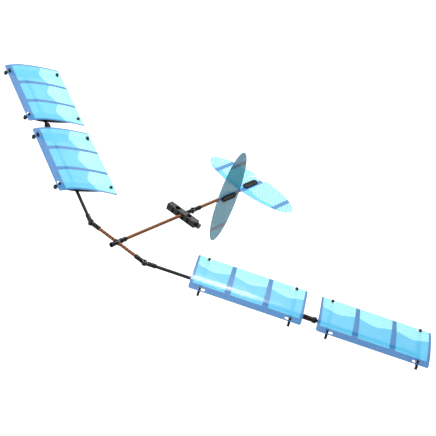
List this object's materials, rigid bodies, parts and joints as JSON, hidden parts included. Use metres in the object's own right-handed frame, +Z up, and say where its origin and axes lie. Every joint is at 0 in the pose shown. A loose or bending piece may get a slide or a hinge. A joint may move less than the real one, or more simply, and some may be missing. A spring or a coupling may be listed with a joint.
{
  "type": "model glider",
  "caption": "Swept-wing construction-kit model glider: round rods in black plastic hinge connectors, cambered film wing panels on ribs, and two elliptical film tail surfaces.",
  "frame": {"origin": "centre of the open mouth of the nose fitting, on the fuselage axis", "axes": "+Y aft along the fuselage, +X to the port wing tip, +Z up"},
  "size_m": [0.524, 0.2157, 0.1],
  "materials": {
    "black_plastic": "satin moulded black",
    "black_rod": "smooth black rod",
    "wound_rod": "spiral-wound brown rod",
    "wing_film": "printed cyan film",
    "fin_film": "printed cyan film, seen in shade",
    "tail_film": "printed cyan film",
    "clip_plastic": "dark brown translucent plastic"
  },
  "bodies": {
    "fuselage": {"nose_fitting": "black_plastic", "cross_rod": "wound_rod", "fuselage_rod": "wound_rod", "beam": "black_plastic", "beam_end_peg": "black_plastic", "port_hinge_fork": "black_plastic", "port_hinge_pivot": "black_plastic", "starboard_hinge_fork": "black_plastic", "starboard_hinge_pivot": "black_plastic", "boom_hinge_fork": "black_plastic", "boom_hinge_pivot": "black_plastic"},
    "port_arm": {"port_hinge_tongue": "black_plastic"},
    "port_wing": {"port_inner_spar": "black_rod", "port_coupler": "black_plastic", "port_outer_spar": "black_rod", "port_rib_1": "black_plastic", "port_rib_2": "black_plastic", "port_rib_3": "black_plastic", "port_rib_4": "black_plastic", "port_inner_panel": "wing_film", "port_outer_panel": "wing_film"},
    "starboard_arm": {"starboard_hinge_tongue": "black_plastic"},
    "starboard_wing": {"starboard_inner_spar": "black_rod", "starboard_coupler": "black_plastic", "starboard_outer_spar": "black_rod", "starboard_rib_1": "black_plastic", "starboard_rib_2": "black_plastic", "starboard_rib_3": "black_plastic", "starboard_rib_4": "black_plastic", "starboard_inner_panel": "wing_film", "starboard_outer_panel": "wing_film"},
    "boom": {"boom_hinge_tongue": "black_plastic", "tail_boom": "wound_rod"},
    "fin": {"fin_film": "fin_film", "fin_clip": "clip_plastic", "fin_saddle": "black_plastic"},
    "tailplane": {"tailplane_film": "tail_film", "tailplane_clip": "clip_plastic", "tailplane_saddle": "black_plastic"}
  },
  "joints": [
    {"name": "port_sweep", "type": "hinge", "parent": "fuselage", "child": "port_arm", "pos_m": [0.0324, 0.008, 0], "axis": [0, 0, 1], "range_deg": [-75, 20]},
    {"name": "port_twist", "type": "hinge", "parent": "port_arm", "child": "port_wing", "pos_m": [0.0324, 0.008, 0], "axis": [0.866, 0.5, 0], "range_deg": [-10, 10]},
    {"name": "starboard_sweep", "type": "hinge", "parent": "fuselage", "child": "starboard_arm", "pos_m": [-0.0324, 0.008, 0], "axis": [0, 0, -1], "range_deg": [-75, 20]},
    {"name": "starboard_twist", "type": "hinge", "parent": "starboard_arm", "child": "starboard_wing", "pos_m": [-0.0324, 0.008, 0], "axis": [0.866, -0.5, 0], "range_deg": [-10, 10]},
    {"name": "boom_swing", "type": "hinge", "parent": "fuselage", "child": "boom", "pos_m": [0, 0.11, 0], "axis": [0, 0, 1], "range_deg": [-30, 30]},
    {"name": "fin_roll", "type": "hinge", "parent": "boom", "child": "fin", "pos_m": [0, 0.1599, 0], "axis": [0, 1, 0], "range_deg": [-30, 30]},
    {"name": "tailplane_roll", "type": "hinge", "parent": "boom", "child": "tailplane", "pos_m": [0, 0.1967, 0], "axis": [0, 1, 0], "range_deg": [-30, 30]}
  ]
}
